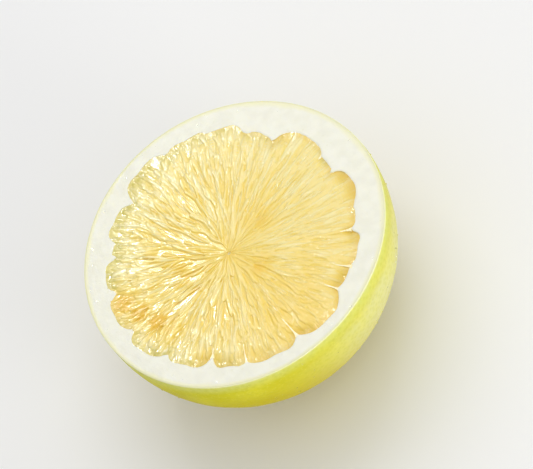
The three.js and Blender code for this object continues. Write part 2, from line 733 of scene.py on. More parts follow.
@dataclass(frozen=True)
class PithFinish:
    """White, damp and spongy, a little green at the rind, and a darker yellow where it lines the flesh:
    partly the lining's own colour, partly painted shade at the edge of the flesh.
    """

    effects: Effects
    white: Colour = (0.93, 0.92, 0.79)
    shade: Colour = (0.84, 0.83, 0.70)
    at_rind: Colour = (0.92, 0.89, 0.56)
    lining_and_edge_shade: Colour = (0.90, 0.80, 0.42)
    fibre: Colour = (0.80, 0.78, 0.58)

    def material(self) -> bpy.types.Material:
        """Builds the material.

        Returns:
            The pith's material.
        """
        sheet = Dress("pith")
        feeds = {"Colour": self.white, "Patches": self.shade, "Size": 7 * MM, "Amount": 0.6}
        base = sheet.effect(self.effects.mottle, feeds)
        inward = sheet.painted("inward")
        fibre = sheet.effect(self.effects.specks, {"Spacing": 3.2 * MM, "Width": 0.28})
        near_flesh = sheet.ramp(inward, 0.35, 0.8, 0, 0.5)
        base = sheet.blend(sheet.times(fibre, near_flesh), base, self.fibre)
        base = sheet.blend(sheet.ramp(inward, 0.2, 0.0, 0.0, 0.9), base, self.at_rind)
        coarse = sheet.effect(self.effects.lumps, {"Size": 2.4 * MM, "Height": 0.2 * MM})
        fine = sheet.effect(self.effects.lumps, {"Size": 0.6 * MM, "Height": 0.09 * MM})
        return sheet.finish({
            # the lining's own yellow and painted shade where the pith rounds down to the flesh
            "Base Color": sheet.blend(sheet.ramp(inward, 0.96, 1.05), base, self.lining_and_edge_shade),
            "Normal": sheet.bump(sheet.math("ADD", coarse, fine), 0.7),
            "Roughness": 0.5,
            "Subsurface Weight": 0.5,
            "Subsurface Radius": (1.0, 0.95, 0.7),
            "Subsurface Scale": 0.4 * MM,
        })


@dataclass(frozen=True)
class SkinFinish:
    """The thin damp skins between the segments, and the core they meet in."""

    effects: Effects
    cream: Colour = (0.94, 0.79, 0.36)
    thick: Colour = (0.94, 0.84, 0.50)

    def material(self) -> bpy.types.Material:
        """Builds the material.

        Returns:
            The skins' material.
        """
        sheet = Dress("segment_skin")
        feeds = {"Colour": self.cream, "Patches": self.thick, "Size": 4 * MM, "Amount": 0.9}
        wrinkle = sheet.effect(self.effects.lumps, {"Size": 0.7 * MM, "Height": 0.1 * MM})
        return sheet.finish({
            "Base Color": sheet.effect(self.effects.mottle, feeds),
            "Normal": sheet.bump(wrinkle, 0.7),
            "Roughness": 0.3,
            "Subsurface Weight": 0.2,
            "Subsurface Radius": (1.0, 0.8, 0.4),
            "Subsurface Scale": 0.1 * MM,
            "Coat Weight": 0.15,
            "Coat Roughness": 0.2,
        })


@dataclass(frozen=True)
class SacFinish:
    """Juice sacs: wet and pale yellow, deeper in colour between them, partly painted shade, and lighter
    along their crests as a painted highlight.
    """

    effects: Effects
    cut_height: float
    core: tuple[float, float]
    pale: Colour = (0.955, 0.76, 0.25)
    yellow: Colour = (0.955, 0.71, 0.13)
    # deeper gold: painted shade in the crevices between the sacs, over the juice's deeper colour there, and
    # the flesh's tint near the core
    deep: Colour = (0.96, 0.65, 0.07)
    golden: Colour = (0.95, 0.63, 0.035)
    # dark amber: the ripest flesh's colour, also painted shade in the crevices and along the flesh's edge
    amber: Colour = (0.85, 0.49, 0.015)
    greenish: Colour = (0.84, 0.79, 0.33)
    # dark olive: painted shade in the crevices and along the flesh's edge near the pith, and the crumbs
    # there
    olive: Colour = (0.60, 0.53, 0.09)
    shadow: Colour = (0.76, 0.54, 0.06)
    milky: Colour = (0.97, 0.92, 0.66)
    # painted highlight: the lighter colour along the sacs' crests, near the cut face
    crest: Colour = (0.96, 0.81, 0.35)
    fibre: Colour = (0.98, 0.88, 0.47)
    crevice_shade_depth: float = 2.0 * MM

    def material(self) -> bpy.types.Material:
        """Builds the material.

        Returns:
            The flesh's material.
        """
        sheet = Dress("flesh")
        near, clean = sheet.painted("near"), sheet.painted("clean")
        feeds = {"Middle": (*self.core, 0.0), "Count": 26.0, "Length": 12 * MM}
        strand = sheet.effect(self.effects.strands, feeds)
        base = self.inside(sheet)
        base = sheet.blend(sheet.times(strand, sheet.ramp(near, 0.95, 0.5, 0.4, 0.75)), base, self.fibre)
        base = sheet.blend(sheet.ramp(near, 0.8, 1.0, 0.0, 0.35), base, self.deep)
        wet = sheet.effect(self.effects.lumps, {"Size": 1.1 * MM, "Height": 0.1 * MM})
        ridge = sheet.times(strand, sheet.ramp(near, 0.95, 0.3, 0.0, 0.26 * MM))
        normal = sheet.bump(sheet.math("ADD", wet, ridge), 0.6)
        off_core = sheet.ramp(near, 0.9, 0.35, 0.2, 1.0)
        return sheet.finish({
            "Base Color": self.ripened(sheet, base),
            "Normal": normal,
            "Coat Normal": normal,
            "Roughness": sheet.ramp(clean, 0.1, 0.9, 0.2, 0.4),
            "Coat Weight": sheet.times(sheet.ramp(clean, 0.1, 0.9, 0.5, 0.2), off_core),
            "IOR": 1.36,
            "Subsurface Weight": 0.2,
            "Subsurface Radius": (1.0, 0.85, 0.5),
            "Subsurface Scale": 0.35 * MM,
            "Coat Roughness": 0.06,
        })

    def inside(self, sheet: Sheet) -> Socket:
        """The juice's colour: one tone for each sac, deeper between the sacs, partly as painted shade, and
        lighter on their crests as a painted highlight.

        Args:
            sheet: the material's sheet.

        Returns:
            The colour.
        """
        top, height = self.cut_height, sheet.height()
        tone, outer_band_and_hollows, ripe = (sheet.painted(name) for name in ("tone", "outer_band_and_hollows", "ripe"))
        base = sheet.blend(tone, self.yellow, self.pale)
        feeds = {"Colour": base, "Patches": self.yellow, "Size": 11 * MM, "Amount": 0.75}
        base = sheet.effect(self.effects.mottle, feeds)
        # greenish in the band near the pith; in the hollows this colour is painted shade
        base = sheet.blend(sheet.times(outer_band_and_hollows, 0.6), base, self.greenish)
        base = sheet.blend(sheet.times(outer_band_and_hollows, sheet.ramp(tone, 0.6, 0.8)), base, self.milky)
        # painted shade: below the cut face the colour goes deeper and darker between the sacs, over the
        # juice's own deeper colour there
        between = sheet.blend(ripe, sheet.blend(outer_band_and_hollows, self.deep, self.olive), self.amber)
        base = sheet.blend(sheet.ramp(height, top - 0.6 * MM, top - self.crevice_shade_depth), base, between)
        # painted highlight: lighter towards the cut face, on the sacs' crests
        return sheet.blend(sheet.ramp(height, top - 0.9 * MM, top - 0.1 * MM, 0, 0.5), base, self.crest)

    def ripened(self, sheet: Sheet, base: Socket) -> Socket:
        """The colour with its golden spots, painted shadow in its shrunk places, the green at the pith and
        painted shade along the flesh's edge.

        Args:
            sheet: the material's sheet.
            base: the colour so far.

        Returns:
            The colour.
        """
        near, outer_band_and_hollows, ripe = (sheet.painted(name) for name in ("near", "outer_band_and_hollows", "ripe"))
        base = sheet.blend(sheet.times(ripe, 0.7), base, self.golden)
        base = sheet.blend(sheet.ramp(ripe, 0.65, 0.95, 0.0, 0.7), base, self.amber)
        # painted shadow where the flesh has shrunk from the pith
        base = sheet.blend(sheet.times(sheet.painted("shrunk"), 0.7), base, self.shadow)
        crumbs = sheet.effect(self.effects.specks, {"Spacing": 2.6 * MM, "Width": 0.75})
        green = sheet.times(sheet.ramp(outer_band_and_hollows, 0.25, 0.75), sheet.ramp(near, 0.14, 0.02))
        base = sheet.blend(sheet.times(green, sheet.ramp(crumbs, 0, 1, 0.25, 0.8)), base, self.olive)
        # painted shade: amber and olive along the flesh's edge, where it meets the pith
        rim = sheet.blend(outer_band_and_hollows, self.amber, self.olive)
        return sheet.blend(sheet.ramp(near, 0.06, 0.0, 0.0, 0.4), base, rim)


@dataclass(frozen=True)
class ScarFinish:
    """Dry brown cork."""

    effects: Effects
    brown: Colour = (0.20, 0.12, 0.035)
    light: Colour = (0.42, 0.32, 0.12)

    def material(self) -> bpy.types.Material:
        """Builds the material.

        Returns:
            The scar's material.
        """
        sheet = Dress("blossom_scar")
        feeds = {"Colour": self.brown, "Patches": self.light, "Size": 1.2 * MM, "Amount": 0.9}
        crust = sheet.effect(self.effects.lumps, {"Size": 0.5 * MM, "Height": 0.2 * MM})
        base = sheet.effect(self.effects.mottle, feeds)
        return sheet.finish({"Base Color": base, "Normal": sheet.bump(crust, 0.9), "Roughness": 0.85})


@dataclass(frozen=True)
class WaterFinish:
    """Clear water."""

    tint: Colour = (0.99, 1.0, 0.98)

    def material(self) -> bpy.types.Material:
        """Builds the material, which light passes through on its way to what is under it.

        Returns:
            The drops' material.
        """
        sheet = Dress("water")
        shadow = sheet.add("LightPath").outputs["Is Shadow Ray"]
        clear = sheet.add("BsdfTransparent").outputs[0]
        feeds = {"Fac": shadow, "Shader": sheet.shader.outputs[0], "Shader_001": clear}
        both = sheet.add("MixShader", feeds).outputs[0]
        sheet.feed(sheet.tree.nodes["Material Output"].inputs["Surface"], both)
        water = {"Base Color": self.tint, "Roughness": 0.02, "IOR": 1.33, "Transmission Weight": 1.0}
        return sheet.finish(water)


# ---------------------------------------------------------------- the pieces


@dataclass
class Rind:
    """The skin of the half: a dimpled bowl with a cut edge, and the scar at its blossom end."""

    fruit: Fruit
    thickness: float = 0.65 * MM
    pocket_depth: float = 7 * MM  # the room that the pith and the flesh fill
    edge_round: float = 0.25 * MM
    pore_spacing: float = 2.9 * MM
    pore_width: float = 0.85 * MM
    pore_depth: float = 0.09 * MM
    lumps: tuple[tuple[float, float], ...] = ((40 * MM, 0.5 * MM), (13 * MM, 0.16 * MM))  # size, height
    sheen_side: float = math.radians(313)  # the direction of the painted sheen: a paler patch on the rind that stands in for a broad reflection
    sheen_width: float = math.radians(42)
    navel_radius: float = 6 * MM
    navel_depth: float = 0.9 * MM
    pleats: int = 11

    @property
    def inner_share(self) -> float:
        """The size of the rind's inner edge on the cut, over the rim's."""
        return 1 - self.thickness / self.fruit.radius

    def build(self) -> Object:
        """Models the bowl: half a ball, with its edge turned in round the pocket that the rest fills.

        Returns:
            The rind.
        """
        piece = begin("rind", bpy.ops.mesh.primitive_ico_sphere_add, subdivisions=8, radius=1)
        with edit_mode():
            bpy.ops.mesh.select_all(action="SELECT")
            bpy.ops.mesh.bisect(plane_co=(0, 0, 0), plane_no=(0, 0, 1), clear_outer=True)
        select_edges(piece, points_of(piece)[:, 2] > -1e-5)
        inner = self.inner_share
        with edit_mode("EDGE"):
            bpy.ops.mesh.extrude_region_move()
            bpy.ops.transform.resize(value=(inner, inner, 1), center_override=(0, 0, 0))
            bpy.ops.mesh.extrude_region_move(TRANSFORM_OT_translate={"value": (0, 0, -self.pocket_depth)})
            bpy.ops.mesh.edge_face_add()
        self.shape(piece)
        self.round_edge(piece)
        smooth(piece, 50)
        return piece

    def shape(self, piece: Object) -> None:
        """Bends the unit bowl to the fruit, and dimples its outside.

        Args:
            piece: the bowl.
        """
        unit = points_of(piece)
        skin = np.linalg.norm(unit, axis=1) > 0.9995
        points = self.fruit.outside(unit)
        angle = np.arctan2(unit[:, 1], unit[:, 0])
        share = self.fruit.radius * self.fruit.rim_share(angle)
        pocket = np.stack([unit[:, 0] * share, unit[:, 1] * share, self.fruit.high.z + unit[:, 2]], 1)
        points[~skin] = pocket[~skin]
        move_points(piece, points)
        pore = np.where(skin, self.pores(points), 0.0)
        inwards = self.relief(points) + pore * self.pore_depth + self.navel(points)
        clear_of_cut = held((self.fruit.high.z - points[:, 2]) / (2 * MM))
        normals = normals_of(piece)
        points -= normals * (inwards * clear_of_cut * skin)[:, None]
        points[:, 2] = np.maximum(points[:, 2], self.fruit.low.z)
        move_points(piece, points)
        paint(piece, "pore", pore)
        paint(piece, "cut", (points[:, 2] > self.fruit.high.z - 0.05 * MM).astype(float))
        # painted sheen: a paler patch round one direction, stronger higher up the side
        turned = np.mod(angle - self.sheen_side + math.pi, 2 * math.pi) - math.pi
        sheen_share = np.exp(-(np.abs(turned / self.sheen_width) ** 3))
        paint(piece, "painted_sheen", sheen_share * held(points[:, 2] / (40 * MM)))

    def pores(self, points: Points) -> Points:
        """How deep in an oil gland's dimple each point is.

        Args:
            points: rows of three.

        Returns:
            One number from 0 to 1 for each point.
        """
        whole = 4 * math.pi * self.fruit.radius**2
        count = int(whole / (self.pore_spacing**2 * 0.87))
        rng = np.random.default_rng(11)
        step = np.arange(count)
        z = 1 - (2 * step + 1) / count
        turn = step * math.pi * (3 - math.sqrt(5))
        level = np.sqrt(1 - z**2)
        spots = np.stack([level * np.cos(turn), level * np.sin(turn), z], 1)
        spots += rng.normal(0, 0.28 * self.pore_spacing / self.fruit.radius, spots.shape)
        spots = self.fruit.outside(spots / np.linalg.norm(spots, axis=1)[:, None])
        tree = tree_of(spots)
        away = np.array([tree.find(p)[2] for p in points])
        return np.exp(-((away / self.pore_width) ** 2))

    def relief(self, points: Points) -> Points:
        """The gentle unevenness of the skin."""
        return sum(height * noise_at(points, size, size) for size, height in self.lumps)

    def navel(self, points: Points) -> Points:
        """The shallow pleated hollow round the blossom scar, in the middle of the resting spot.

        Args:
            points: rows of three.

        Returns:
            How deep it is at each point.
        """
        away = np.hypot(points[:, 0], points[:, 1]) / self.navel_radius
        below = points[:, 2] < self.fruit.height / 4
        angle = np.arctan2(points[:, 1], points[:, 0])
        pleat = 1 + 0.25 * np.cos(self.pleats * angle) * held(away)
        return np.where(below, self.navel_depth * np.exp(-(away**2) * 2) * pleat, 0.0)

    def round_edge(self, piece: Object) -> None:
        """Takes the sharpness off the rim.

        Args:
            piece: the bowl.
        """
        points = points_of(piece)
        angle = np.arctan2(points[:, 1], points[:, 0])
        rim = self.fruit.radius * self.fruit.rim_share(angle) - 0.3 * MM
        on_cut = points[:, 2] > self.fruit.high.z - 1e-6
        select_edges(piece, on_cut & (np.hypot(points[:, 0], points[:, 1]) > rim))
        with edit_mode("EDGE"):
            bpy.ops.mesh.bevel(offset=self.edge_round, segments=2)

    def scar(self) -> Object:
        """Models the corky scar in the hollow.

        Returns:
            The scar.
        """
        radius = self.navel_radius * 0.42
        add = bpy.ops.mesh.primitive_uv_sphere_add
        piece = begin("blossom_scar", add, segments=44, ring_count=22, radius=1)
        points = points_of(piece)
        angle = np.arctan2(points[:, 1], points[:, 0])
        ragged = 1 + 0.12 * np.cos(5 * angle + 1) + 0.06 * np.cos(self.pleats * angle)
        crust = 1 + 0.25 * noise_at(points, 0.35, 4)
        points[:, :2] *= radius * ragged[:, None]
        points[:, 2] *= 0.5 * MM * crust
        points[:, 2] += self.fruit.low.z + self.navel_depth
        move_points(piece, points)
        smooth(piece)
        return piece


@dataclass
class Pith:
    """The white ring between the rind and the flesh, with a round bay for each segment."""

    fruit: Fruit
    rind: Rind
    spokes: int = 720
    depth: float = 6 * MM
    tuck: float = 0.0006  # how far it reaches into the rind, over the rim's radius
    lip: float = 0.3 * MM  # how far it rounds down to the flesh
    top_steps: int = 18
    wall_steps: int = 6
    floor_steps: int = 4

    def section(self) -> tuple[Points, Points]:
        """One slice through the ring, from the rind over the top, down the flesh's side and back under.

        Returns:
            Each point's share of the way from the rind to the flesh, and its drop below the cut face.
        """
        top = np.linspace(0, 1, self.top_steps)
        wall = np.linspace(0, self.depth - self.lip, self.wall_steps + 1)[1:] + self.lip
        back = np.linspace(1, 0, self.floor_steps + 1)[1:]
        up = np.linspace(self.depth, 0, self.floor_steps + 1)[1:-1]
        across = np.concatenate([top, np.full(len(wall), 1.0), back, np.zeros(len(up))])
        drop = np.concatenate([np.zeros(len(top)), wall, np.full(len(back), self.depth), up])
        return across, drop

    def build(self) -> Object:
        """Models the ring.

        Returns:
            The pith.
        """
        across, drop = self.section()
        options = {"major_segments": self.spokes, "minor_segments": len(across), "minor_radius": 0.25}
        piece = begin("pith", bpy.ops.mesh.primitive_torus_add, major_radius=1, **options)
        ring = points_of(piece)
        angle = np.arctan2(ring[:, 1], ring[:, 0])
        around = np.mod(np.arctan2(ring[:, 2], np.hypot(ring[:, 0], ring[:, 1]) - 1), 2 * math.pi)
        step = np.round(around / (2 * math.pi) * len(across)).astype(int) % len(across)
        outer = self.fruit.core_to_edge(angle, self.rind.inner_share + self.tuck)
        inner = self.fruit.flesh_edge(angle)
        share, below = across[step], drop[step]
        distance = outer + (inner - outer) * share
        points = self.fruit.from_core(angle, distance, below)
        on_top = below < self.lip / 2
        sag = 0.22 * MM * noise_at(points, 9 * MM, 2) + 0.1 * MM * noise_at(points, 2.6 * MM, 3)
        lip = self.lip * held((share - 0.93) / 0.07) ** 2
        edge = held(share / 0.06)
        points[:, 2] += np.where(on_top, (sag - 0.12 * MM) * edge - lip, 0)
        move_points(piece, points)
        paint(piece, "inward", np.where(on_top, share, share * (1 + below / (2 * MM))))
        smooth(piece, 60)
        return piece


@dataclass
class Skins:
    """The thin walls between the segments, and the core they meet in."""

    fruit: Fruit
    thickness: float = 0.5 * MM
    sunk: float = 0.1 * MM  # below the cut face, at the pith on the side where they show best
    sunk_more: float = 1.3 * MM  # added on the other side, and again at the core
    shown: float = math.radians(285)  # the side where they show best
    depth: float = 5 * MM
    core_radius: float = 1.2 * MM
    steps: int = 44
    sway: float = 0.45 * MM
    seed: int = 23

    def build(self) -> Object:
        """Models one wall, repeats it, and stands each copy between two segments.

        Returns:
            All the walls as one piece.
        """
        count = len(self.fruit.segments)
        add = bpy.ops.mesh.primitive_grid_add
        piece = begin("segment_skins", add, x_subdivisions=self.steps, y_subdivisions=6, size=2)
        size = repeat(piece, count)
        flat = points_of(piece)
        which = np.arange(len(flat)) // size
        along = (np.tile(flat[:size, 0], count) + 1) / 2
        down = (1 - np.tile(flat[:size, 1], count)) / 2
        starts = np.array([s.start for s in self.fruit.segments])[which]
        rng = np.random.default_rng(self.seed)
        phase, waves = rng.uniform(0, 6.28, count)[which], rng.uniform(0.8, 1.9, count)[which]
        end = self.fruit.flesh_edge(starts) + 1.5 * MM
        distance = self.core_radius * 0.6 + (end - self.core_radius * 0.6) * along
        aside = self.sway * np.sin(waves * 6.28 * along + phase) * np.sin(math.pi * along)
        points = self.fruit.from_core(starts, distance, self.depth * down)
        points[:, 0] -= aside * np.sin(starts)
        points[:, 1] += aside * np.cos(starts)
        hidden = 0.5 - 0.5 * np.cos(starts - self.shown) + (1 - along)
        torn = 0.3 * MM * noise_at(points, 5 * MM, 6) - self.sunk - self.sunk_more * hidden
        points[:, 2] += torn * (1 - down)
        move_points(piece, points)
        thicken(piece, self.thickness, 0)
        self.flare(piece, points, along)
        smooth(piece, 60)
        return piece

    def flare(self, piece: Object, points: Points, along: Points) -> None:
        """Makes the walls' thickness uneven, and wider where they run into the pith.

        Args:
            piece: the walls, thickened.
            points: the middle sheet's points before that.
            along: their share of the way from the core to the pith.
        """
        sides = points_of(piece).reshape(2, -1, 3)
        middle = sides.mean(axis=0)
        flare = 3.5 * held((along - 0.94) / 0.06) ** 2
        uneven = 1 + 0.45 * noise_at(points, 3 * MM, 12) + flare
        move_points(piece, (middle + (sides - middle) * uneven[None, :, None]).reshape(-1, 3))

    def core(self) -> Object:
        """Models the core: a short ragged column, hollow in the middle.

        Returns:
            The core.
        """
        count = len(self.fruit.segments)
        add = bpy.ops.mesh.primitive_cylinder_add
        piece = begin("core", add, vertices=count * 6, radius=self.core_radius, depth=self.depth)
        with edit_mode("FACE"):
            bpy.ops.mesh.select_all(action="DESELECT")
        faces = piece.data.polygons
        faces.foreach_set("select", np.array([f.normal.z > 0.9 for f in faces]))
        with edit_mode("FACE"):
            for _ in range(5):
                bpy.ops.mesh.inset(thickness=self.core_radius / 6.5)
            bpy.ops.mesh.poke()
        points = points_of(piece)
        top = points[:, 2] > 0
        angle = np.arctan2(points[:, 1], points[:, 0])
        out = np.hypot(points[:, 0], points[:, 1]) / self.core_radius
        star = 1 + 0.16 * np.cos(count * (angle - self.fruit.segments[0].start)) * out
        star += 0.10 * noise_at(points, 1.5 * MM, 8)
        points[:, :2] *= star[:, None]
        hollow = 0.9 * MM * np.exp(-((out / 0.35) ** 2)) + 0.35 * MM * out**2
        points[:, 2] = self.fruit.high.z - np.where(top, 0.8 * MM + hollow, self.depth)
        points[:, :2] += self.fruit.core
        move_points(piece, points)
        smooth(piece, 60)
        return piece


class Layer(Enum):
    """How deep a juice sac lies: the most and the least drop of its crest below the cut, in millimetres."""

    UNDER = (1.5, 1.0)
    MIDDLE = (1.1, 0.5)
    TOP = (0.7, -0.1)


@dataclass
class Lot:
    """What the juice sacs of one segment are like before they are laid, one row for each."""

    across: Points  # which way it points, from -1 at one skin to 1 at the other
    head: Points  # how far its blunt end is from the core
    tail: Points  # how far its thin end is
    half_width: Points
    crest_drop: Points  # how far its crest is below the cut
    plump: Points  # how round it is, from 0 to 1
    waves: Points  # how often it sways along its length
    sway: Points  # how far
    phase: Points
    lean: Points  # how far it strays from pointing at the core, in radians
    tone: Points


@dataclass
class Sacs:
    """The flesh of one segment: long drops of juice that point at the core, grown together underneath."""

    fruit: Fruit
    segment: Segment
    number: int
    per_square_mm: float = 0.18  # how many sacs there are
    nearest_tail: float = 0.8 * MM  # how near the core a sac may come
    bed_drop: float = 1.2 * MM  # how far below the cut the deeper flesh lies where the cut is roughest
    edge_drop: float = 0.15 * MM  # the same at the pith
    core_drop: float = 0.6 * MM  # the same at the core
    overlap: float = 0.9 * MM  # how far its flesh may lie over the skin beside it
    hollow_depth: float = 0.9 * MM  # how far the flesh has shrunk from the pith in places
    bed_depth: float = 3.6 * MM
    softest: float = math.radians(-35)  # the flesh is cut most cleanly in this direction
    bulbs: float = 0.5  # the share of short round sacs near the pith where the cut is roughest
    disorder: float = math.radians(5)  # how far the sacs stray from pointing at the core
    tail_dip: float = 0.8 * MM  # how much deeper a sac's thin end lies than its crest
    crest_level: float = 0.15 * MM  # how far below the cut face the knife left the highest crests
    crest_soft: float = 0.25 * MM  # how softly the others level off there
    # the least and the most of a sac's sizes, in millimetres
    slim_length: tuple[float, float] = (20, 38)
    full_length: tuple[float, float] = (9, 19)
    bulb_length: tuple[float, float] = (7, 13)
    bulb_half_width: tuple[float, float] = (1.0, 1.5)
    bulb_drop: tuple[float, float] = (-0.2, 0.7)  # of its crest below the cut
    sway: tuple[float, float] = (0.1, 0.7)
    grain: float = 0.24 * MM  # the finest step that the grown flesh keeps
    seed: int = 100

    @property
    def clean(self) -> float:
        """How cleanly the knife went through the segment, from 0 to 1."""
        return 0.5 + 0.5 * math.cos(self.segment.middle - self.softest)

    def build(self) -> Object:
        """Models one sac, repeats it, lays each copy in its place and grows them together.

        Returns:
            The segment's flesh.
        """
        name = f"juice_sacs_{self.number:02d}"
        add = bpy.ops.mesh.primitive_uv_sphere_add
        piece = begin(name, add, segments=9, ring_count=13, radius=1)
        edge = float(self.fruit.flesh_edge(np.array([self.segment.middle]))[0])
        area = self.segment.half_span * (edge / MM) ** 2
        lot = self.scatter(int(area * self.per_square_mm))
        size = repeat(piece, len(lot.head))
        ball = points_of(piece)[:size]
        along = np.arccos(np.clip(-ball[:, 2], -1, 1)) / math.pi
        points = self.lay(along, np.arctan2(ball[:, 1], ball[:, 0]), lot).reshape(-1, 3)
        move_points(piece, points)
        self.grow_together(piece)
        tree = tree_of(points)
        nearest = np.array([tree.find(p)[1] for p in points_of(piece)])
        paint(piece, "tone", lot.tone.ravel()[nearest // size])
        self.settle(piece)
        smooth(piece)
        return piece

    def settle(self, piece: Object) -> None:
        """Shrinks the flesh from the pith in places, and paints what changes over it.

        Args:
            piece: the segment's flesh, grown together.
        """
        fruit, points = self.fruit, points_of(piece)
        ripe = fruit.spotted(points, fruit.ripe_spots)
        reach = fruit.reach_share(points)
        hollow = held(2.5 * noise_at(points, 11 * MM, 31)) * held((reach - 0.91) / 0.07)
        hollow *= 0.3 + 0.7 * self.clean
        shrunk = fruit.spotted(points, fruit.shrunk_spots) * held((reach - 0.87) / 0.08)
        points[:, 2] -= self.hollow_depth * np.maximum(hollow, shrunk)
        move_points(piece, points)
        angle = np.arctan2(points[:, 1] - fruit.core[1], points[:, 0] - fruit.core[0])
        outward = held((reach - 0.72) / 0.25) * (1 - 0.85 * self.clean)
        paint(piece, "ripe", ripe)
        paint(piece, "shrunk", shrunk)
        paint(piece, "near", held(1 - reach))
        paint(piece, "clean", 0.5 + 0.5 * np.cos(angle - self.softest))
        # mask for the greener band near the pith and for the hollows; in the hollows the greenish and olive
        # colours it brings are painted shade
        paint(piece, "outer_band_and_hollows", np.maximum(outward, 0.8 * hollow) * (1 - ripe))

    def bed(self) -> Object:
        """Models the deeper flesh of the segment as a wedge.

        Returns:
            The wedge.
        """
        wedge = begin("bed", bpy.ops.mesh.primitive_cube_add, size=2)
        with edit_mode("FACE"):
            bpy.ops.mesh.select_all(action="SELECT")
            bpy.ops.mesh.subdivide(number_cuts=31)
        cube = points_of(wedge)
        share = (cube[:, 0] + 1) / 2
        angle = self.segment.middle + self.segment.half_span * cube[:, 1]
        distance = self.nearest_tail + share * (self.fruit.flesh_edge(angle) + 0.6 * MM - self.nearest_tail)
        high = self.bed_drop - 0.6 * MM * self.clean
        high = high + (self.core_drop - high) * held(1 - distance / (12 * MM))
        high = high + (self.edge_drop - high) * share**10
        drop = high + (1 - cube[:, 2]) / 2 * (self.bed_depth - high)
        angle += self.spill(distance) * cube[:, 1]
        move_points(wedge, self.fruit.from_core(angle, distance, drop))
        return wedge

    def grow_together(self, piece: Object) -> None:
        """Makes the laid sacs and the flesh under them one body.

        Args:
            piece: the sacs.
        """
        bed = self.bed()
        bpy.ops.object.select_all(action="DESELECT")
        bed.select_set(True)
        piece.select_set(True)
        bpy.context.view_layer.objects.active = piece
        bpy.ops.object.join()
        flesh = piece.modifiers.new("flesh", "REMESH")
        flesh.mode = "VOXEL"
        flesh.voxel_size = self.grain
        apply(piece, flesh)

    def spill(self, distance: Points) -> Points:
        """How far past its skins the flesh may lie at a distance from the core, in radians."""
        return self.overlap * np.clip(distance / (25 * MM), 0.1, 1) / distance

    def flow(self, distance: Points, across: Points) -> Points:
        """How far aside the sacs at a place lean together.

        Args:
            distance: the place's distance from the core.
            across: where it is between the segment's skins, from -1 to 1.

        Returns:
            The distance aside, in metres.
        """
        lean = np.sin(distance / (9 * MM) + self.number * 1.7)
        lean += 0.6 * np.sin(distance / (4.7 * MM) + across * 2.5)
        return 1.1 * MM * lean * (1 - across**2) * held(distance / (20 * MM))

    def scatter(self, count: int) -> Lot:
        """Picks each sac's place, size and lean.

        Args:
            count: how many sacs there are.

        Returns:
            The sacs, before they are laid.
        """
        rng = np.random.default_rng(self.seed + self.number)
        each = (count, 1)
        step = np.arange(count)[:, None] + rng.random(each) * 0.6
        across = 2 * np.mod(0.5 + step * EVEN_STEPS[0], 1) - 1
        share = np.sqrt(0.04 + 0.96 * np.mod(0.5 + step * EVEN_STEPS[1], 1))
        edge = self.fruit.flesh_edge(self.segment.middle + across * self.segment.half_span * 0.93)
        at_pith = (np.arange(count) % 5 < 2)[:, None]
        head = np.where(at_pith, edge + rng.uniform(-0.6, 0.5, each) * MM, edge * share * 0.98)
        plump = np.where(at_pith, rng.uniform(0.2, 1, each), rng.random(each) ** 3)
        grown = head / edge
        half_width = MM * (0.45 + 0.68 * grown) * rng.uniform(0.75, 1.2, each)
        half_width *= 1 + 0.3 * self.clean + 0.5 * plump * (1 - 0.8 * self.clean)
        slim = rng.random(each) < 0.3 + 0.2 * self.clean
        length = MM * np.where(
            slim, rng.uniform(*self.slim_length, each), rng.uniform(*self.full_length, each)
        )
        half_width *= np.where(slim, 0.72, 1.12)
        tail = np.maximum(head - length, self.nearest_tail)
        drops = np.array([layer.value for layer in Layer])[rng.integers(0, len(Layer), count)]
        most, least = drops[:, :1], drops[:, 1:]
        crest_drop = MM * (least + (most - least) * rng.random(each) - 0.5 * self.clean)
        bulb = rng.random(each) < self.bulbs * (1 - self.clean)
        head = np.where(bulb, edge * rng.uniform(0.74, 1.01, each), head)
        tail = np.where(bulb, head - rng.uniform(*self.bulb_length, each) * MM, tail)
        half_width = np.where(bulb, rng.uniform(*self.bulb_half_width, each) * MM, half_width)
        crest_drop = np.where(bulb, rng.uniform(*self.bulb_drop, each) * MM, crest_drop)
        waves = rng.uniform(0.8, 2.0, each) * (head - tail) / (24 * MM)
        sway, phase = MM * rng.uniform(*self.sway, each), rng.random(each)
        lean = rng.normal(0, self.disorder, each) * np.where(bulb, 3, 1)
        tone = rng.random(each)
        return Lot(across, head, tail, half_width, crest_drop, plump, waves, sway, phase, lean, tone)

    def lay(self, along: Points, around: Points, lot: Lot) -> Points:
        """Bends copies of one ball into sacs.

        Args:
            along: each of the ball's points' share of the way from pole to pole.
            around: each point's angle about that axis.
            lot: the sacs.

        Returns:
            Each sac's points, in their places.
        """
        share = 1 - (1 - along[None, :]) ** 1.5
        girth = self.girth(share, lot.plump)
        distance = lot.tail + (lot.head - lot.tail) * share
        sway = lot.sway * np.sin(6.28 * (lot.waves * share + lot.phase))
        sway += self.flow(distance, lot.across) + lot.lean * (distance - (lot.head + lot.tail) / 2)
        middle, half = self.segment.middle, self.segment.half_span
        room = half - np.arcsin(held((lot.half_width * girth - 1.1 * MM) / distance))
        angle = middle + lot.across * np.maximum(room, 0)
        angle += (sway + lot.half_width * girth * np.cos(around)[None, :]) / distance
        half = half + self.spill(distance)
        angle = middle + np.clip(angle - middle, -half, half)
        flat = 0.75 - 0.3 * self.clean
        drop = lot.crest_drop + self.tail_dip * (1 - share) ** 2 * held(distance / (25 * MM))
        drop = drop + flat * lot.half_width * girth * (1 - np.sin(around)[None, :])
        over = np.logaddexp(0, (drop - self.crest_level) / self.crest_soft)
        drop = self.crest_level + over * self.crest_soft
        return self.fruit.from_core(angle, distance, drop)

